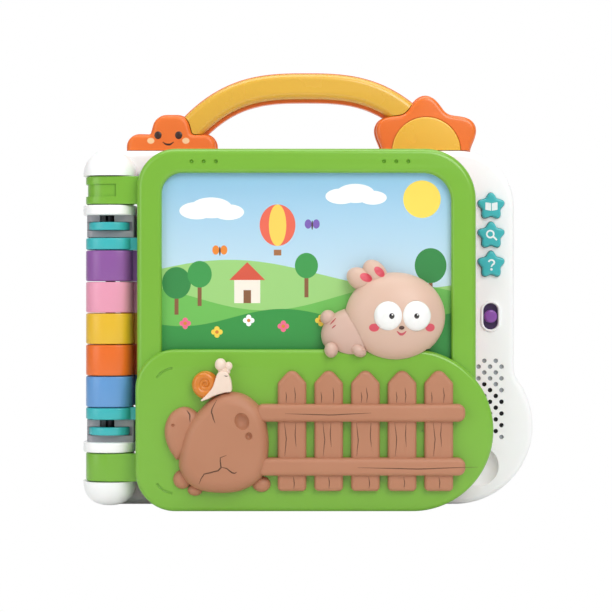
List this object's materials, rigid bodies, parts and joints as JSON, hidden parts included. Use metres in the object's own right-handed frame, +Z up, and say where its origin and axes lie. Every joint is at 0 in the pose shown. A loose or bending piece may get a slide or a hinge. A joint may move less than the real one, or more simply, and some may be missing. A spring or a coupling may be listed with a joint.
{
  "type": "learning book",
  "caption": "Talking learning book with stiff leaves and a raised cover turning on a spine, a white base with push buttons, a slide switch and speaker holes, and a carrying handle.",
  "frame": {"origin": "middle of the bounding box in plan, on the floor under the base's lower edge", "axes": "+X from the spine to the buttons, +Y to the back, +Z up towards the handle; the cover faces -Y"},
  "size_m": [0.2714, 0.0762, 0.2638],
  "materials": {
    "white_plastic": "semi-gloss moulded",
    "green_plastic": "semi-gloss moulded",
    "teal_plastic": "semi-gloss moulded",
    "purple_plastic": "semi-gloss moulded",
    "pink_plastic": "semi-gloss moulded",
    "yellow_plastic": "semi-gloss moulded",
    "orange_plastic": "semi-gloss moulded",
    "blue_plastic": "semi-gloss moulded",
    "handle_yellow_plastic": "semi-gloss moulded",
    "brown_plastic": "satin moulded",
    "beige_plastic": "satin moulded",
    "snail_orange_plastic": "semi-gloss moulded",
    "cream_plastic": "satin moulded",
    "picture_print": "printed, satin",
    "switch_plastic": "semi-gloss moulded",
    "shaft_steel": "drawn rod",
    "contact_steel": "plated spring strip",
    "pad_rubber": "matt silicone",
    "board_laminate": "varnished laminate",
    "speaker_black": "satin black",
    "battery_jacket": "plain jacket"
  },
  "bodies": {
    "base": {"front_shell": "white_plastic", "rear_shell": "white_plastic", "spine_cap_bottom": "white_plastic", "spine_cap_top": "white_plastic", "spine_shaft": "shaft_steel", "spine_clip_bottom": "teal_plastic", "spine_clip_top": "teal_plastic", "button_pad": "pad_rubber", "circuit_board": "board_laminate", "switch_body": "contact_steel", "speaker": "speaker_black", "battery_1": "battery_jacket", "battery_2": "battery_jacket", "battery_3": "battery_jacket", "battery_contact_left": "contact_steel", "battery_contact_right": "contact_steel", "battery_door": "white_plastic", "handle_rear_shell": "orange_plastic", "handle_front_arch": "handle_yellow_plastic", "cloud_boss": "orange_plastic", "sun_boss": "orange_plastic", "sun_disc": "handle_yellow_plastic"},
    "blue_leaf": {"leaf_blue": "blue_plastic"},
    "orange_leaf": {"leaf_orange": "orange_plastic"},
    "yellow_leaf": {"leaf_yellow": "yellow_plastic"},
    "pink_leaf": {"leaf_pink": "pink_plastic"},
    "purple_leaf": {"leaf_purple": "purple_plastic"},
    "teal_leaf": {"leaf_teal": "teal_plastic"},
    "cover": {"cover_frame": "green_plastic", "cover_inner_panel": "green_plastic", "picture_card": "picture_print", "ground_panel": "green_plastic", "rock": "brown_plastic", "fence": "brown_plastic", "snail_shell": "snail_orange_plastic", "snail_body": "cream_plastic", "rabbit_head": "beige_plastic", "rabbit_body": "beige_plastic", "rabbit_eye_left": "white_plastic", "rabbit_eye_right": "white_plastic"},
    "star_top": {"star_button_top": "teal_plastic"},
    "star_middle": {"star_button_middle": "teal_plastic"},
    "star_bottom": {"star_button_bottom": "teal_plastic"},
    "switch": {"switch_knob": "switch_plastic"}
  },
  "joints": [
    {"name": "blue_leaf_turn", "type": "hinge", "parent": "base", "child": "blue_leaf", "pos_m": [-0.11977, -0.0002, 0.1], "axis": [0, 0, -1], "range_deg": [0, 180]},
    {"name": "orange_leaf_turn", "type": "hinge", "parent": "blue_leaf", "child": "orange_leaf", "pos_m": [-0.11977, -0.0002, 0.1], "axis": [0, 0, -1], "range_deg": [0, 180]},
    {"name": "yellow_leaf_turn", "type": "hinge", "parent": "orange_leaf", "child": "yellow_leaf", "pos_m": [-0.11977, -0.0002, 0.1], "axis": [0, 0, -1], "range_deg": [0, 180]},
    {"name": "pink_leaf_turn", "type": "hinge", "parent": "yellow_leaf", "child": "pink_leaf", "pos_m": [-0.11977, -0.0002, 0.1], "axis": [0, 0, -1], "range_deg": [0, 180]},
    {"name": "purple_leaf_turn", "type": "hinge", "parent": "pink_leaf", "child": "purple_leaf", "pos_m": [-0.11977, -0.0002, 0.1], "axis": [0, 0, -1], "range_deg": [0, 180]},
    {"name": "teal_leaf_turn", "type": "hinge", "parent": "purple_leaf", "child": "teal_leaf", "pos_m": [-0.11977, -0.0002, 0.1], "axis": [0, 0, -1], "range_deg": [0, 180]},
    {"name": "cover_turn", "type": "hinge", "parent": "teal_leaf", "child": "cover", "pos_m": [-0.11977, -0.0002, 0.1], "axis": [0, 0, -1], "range_deg": [0, 180]},
    {"name": "star_top_press", "type": "slide", "parent": "base", "child": "star_top", "axis": [0, 1, 0], "range_m": [0, 0.0016], "stiffness_N_per_m": 600},
    {"name": "star_middle_press", "type": "slide", "parent": "base", "child": "star_middle", "axis": [0, 1, 0], "range_m": [0, 0.0016], "stiffness_N_per_m": 600},
    {"name": "star_bottom_press", "type": "slide", "parent": "base", "child": "star_bottom", "axis": [0, 1, 0], "range_m": [0, 0.0016], "stiffness_N_per_m": 600},
    {"name": "switch_slide", "type": "slide", "parent": "base", "child": "switch", "axis": [0, 0, 1], "range_m": [-0.0036, 0.0036]}
  ]
}
